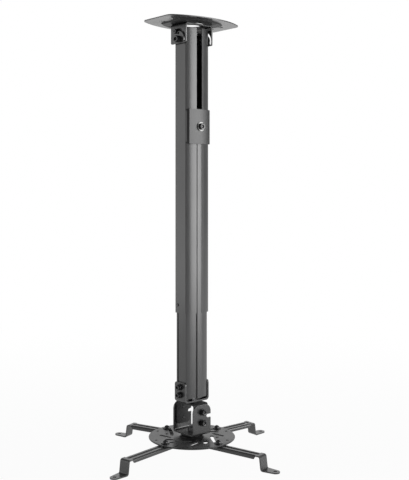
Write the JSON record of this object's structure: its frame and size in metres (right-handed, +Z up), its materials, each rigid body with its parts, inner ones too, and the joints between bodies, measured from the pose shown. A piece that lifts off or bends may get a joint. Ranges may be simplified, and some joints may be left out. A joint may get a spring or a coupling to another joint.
{
  "type": "projector ceiling mount",
  "caption": "Telescopic projector ceiling mount: pressed ceiling plate, tilting slotted pole, two-axis head and a round slotted plate with adjustable arms.",
  "frame": {"origin": "centre of the ceiling plate's top face, where the mount meets the ceiling", "axes": "+Z points up into the ceiling and the pole hangs along -Z; +X runs along the ceiling plate's length and the pivot; the pole's open slot and the clamp face -Y"},
  "size_m": [0.3842, 0.3639, 0.7739],
  "materials": {
    "black_coat": "satin",
    "black_screws": "semi-gloss black oxide",
    "dark_zinc": "dark zinc",
    "bright_washer": "bright zinc"
  },
  "bodies": {
    "ceiling": {"ceiling_plate": "black_coat", "pivot_bracket": "black_coat"},
    "outer_pole": {"outer_tube": "black_coat", "pivot_screw_left": "black_screws", "pivot_screw_right": "black_screws", "pivot_washer_left": "black_screws", "pivot_washer_right": "black_screws", "pivot_nut_left": "dark_zinc", "pivot_nut_right": "dark_zinc", "lock_screw_left": "black_screws", "lock_screw_right": "black_screws", "lock_nut_left": "dark_zinc", "lock_nut_right": "dark_zinc", "guide_screw_left": "black_screws", "guide_screw_right": "black_screws"},
    "inner_pole": {"inner_tube": "black_coat", "clamp_saddle": "black_coat", "clamp_washer": "bright_washer", "clamp_screw": "black_screws", "clamp_nut": "dark_zinc", "tube_bracket": "black_coat", "foot_washers_left": "black_screws", "foot_washers_right": "black_screws", "foot_screws_left": "black_screws", "foot_screws_right": "black_screws", "foot_nuts_left": "dark_zinc", "foot_nuts_right": "dark_zinc", "swivel_bolt": "dark_zinc", "swivel_washer": "dark_zinc", "swivel_nut": "dark_zinc"},
    "yoke": {"yoke": "black_coat", "tilt_washers_front": "black_screws", "tilt_washers_back": "black_screws", "tilt_pivot_screw_front": "black_screws", "tilt_pivot_screw_back": "black_screws", "tilt_lock_screw_front": "black_screws", "tilt_lock_screw_back": "black_screws"},
    "cradle": {"cradle": "black_coat", "turn_bolt": "dark_zinc", "turn_washer": "dark_zinc", "turn_nut": "dark_zinc"},
    "plate": {"projector_plate": "black_coat"},
    "arm_bolt_left": {"arm_bolt_left": "black_screws", "arm_nut_left": "dark_zinc"},
    "arm_left": {"arm_left": "black_coat"},
    "arm_bolt_front": {"arm_bolt_front": "black_screws", "arm_nut_front": "dark_zinc"},
    "arm_front": {"arm_front": "black_coat"},
    "arm_bolt_right": {"arm_bolt_right": "black_screws", "arm_nut_right": "dark_zinc"},
    "arm_right": {"arm_right": "black_coat"},
    "arm_bolt_back": {"arm_bolt_back": "black_screws", "arm_nut_back": "dark_zinc"},
    "arm_back": {"arm_back": "black_coat"}
  },
  "joints": [
    {"name": "ceiling_tilt", "type": "hinge", "parent": "ceiling", "child": "outer_pole", "pos_m": [0, 0, -0.0323], "axis": [1, 0, 0], "range_deg": [0, 90]},
    {"name": "pole_extension", "type": "slide", "parent": "outer_pole", "child": "inner_pole", "axis": [0, 0, -1], "range_m": [-0.115, 0.29]},
    {"name": "pole_swivel", "type": "hinge", "parent": "inner_pole", "child": "yoke", "pos_m": [0, 0, -0.684], "axis": [0, 0, 1], "continuous": true},
    {"name": "head_tilt", "type": "hinge", "parent": "yoke", "child": "cradle", "pos_m": [0, 0, -0.6982], "axis": [0, 1, 0], "range_deg": [-15, 15]},
    {"name": "plate_turn", "type": "hinge", "parent": "cradle", "child": "plate", "pos_m": [0, 0, -0.7462], "axis": [0, 0, 1], "continuous": true},
    {"name": "arm_left_swing", "type": "hinge", "parent": "plate", "child": "arm_bolt_left", "pos_m": [-0.06562, -0.00482, -0.749], "axis": [0, 0, 1], "range_deg": [-30, 30]},
    {"name": "arm_left_slide", "type": "slide", "parent": "arm_bolt_left", "child": "arm_left", "axis": [-0.9842, -0.1771, 0], "range_m": [-0.029, 0.001]},
    {"name": "arm_front_swing", "type": "hinge", "parent": "plate", "child": "arm_bolt_front", "pos_m": [0.00482, -0.06562, -0.749], "axis": [0, 0, 1], "range_deg": [-30, 30]},
    {"name": "arm_front_slide", "type": "slide", "parent": "arm_bolt_front", "child": "arm_front", "axis": [0.2028, -0.9792, 0], "range_m": [-0.019, 0.011]},
    {"name": "arm_right_swing", "type": "hinge", "parent": "plate", "child": "arm_bolt_right", "pos_m": [0.06562, 0.00482, -0.749], "axis": [0, 0, 1], "range_deg": [-30, 30]},
    {"name": "arm_right_slide", "type": "slide", "parent": "arm_bolt_right", "child": "arm_right", "axis": [0.9994, -0.0349, 0], "range_m": [-0.014, 0.016]},
    {"name": "arm_back_swing", "type": "hinge", "parent": "plate", "child": "arm_bolt_back", "pos_m": [-0.00482, 0.06562, -0.749], "axis": [0, 0, 1], "range_deg": [-30, 30]},
    {"name": "arm_back_slide", "type": "slide", "parent": "arm_bolt_back", "child": "arm_back", "axis": [-0.3256, 0.9455, 0], "range_m": [-0.01, 0.02]}
  ]
}
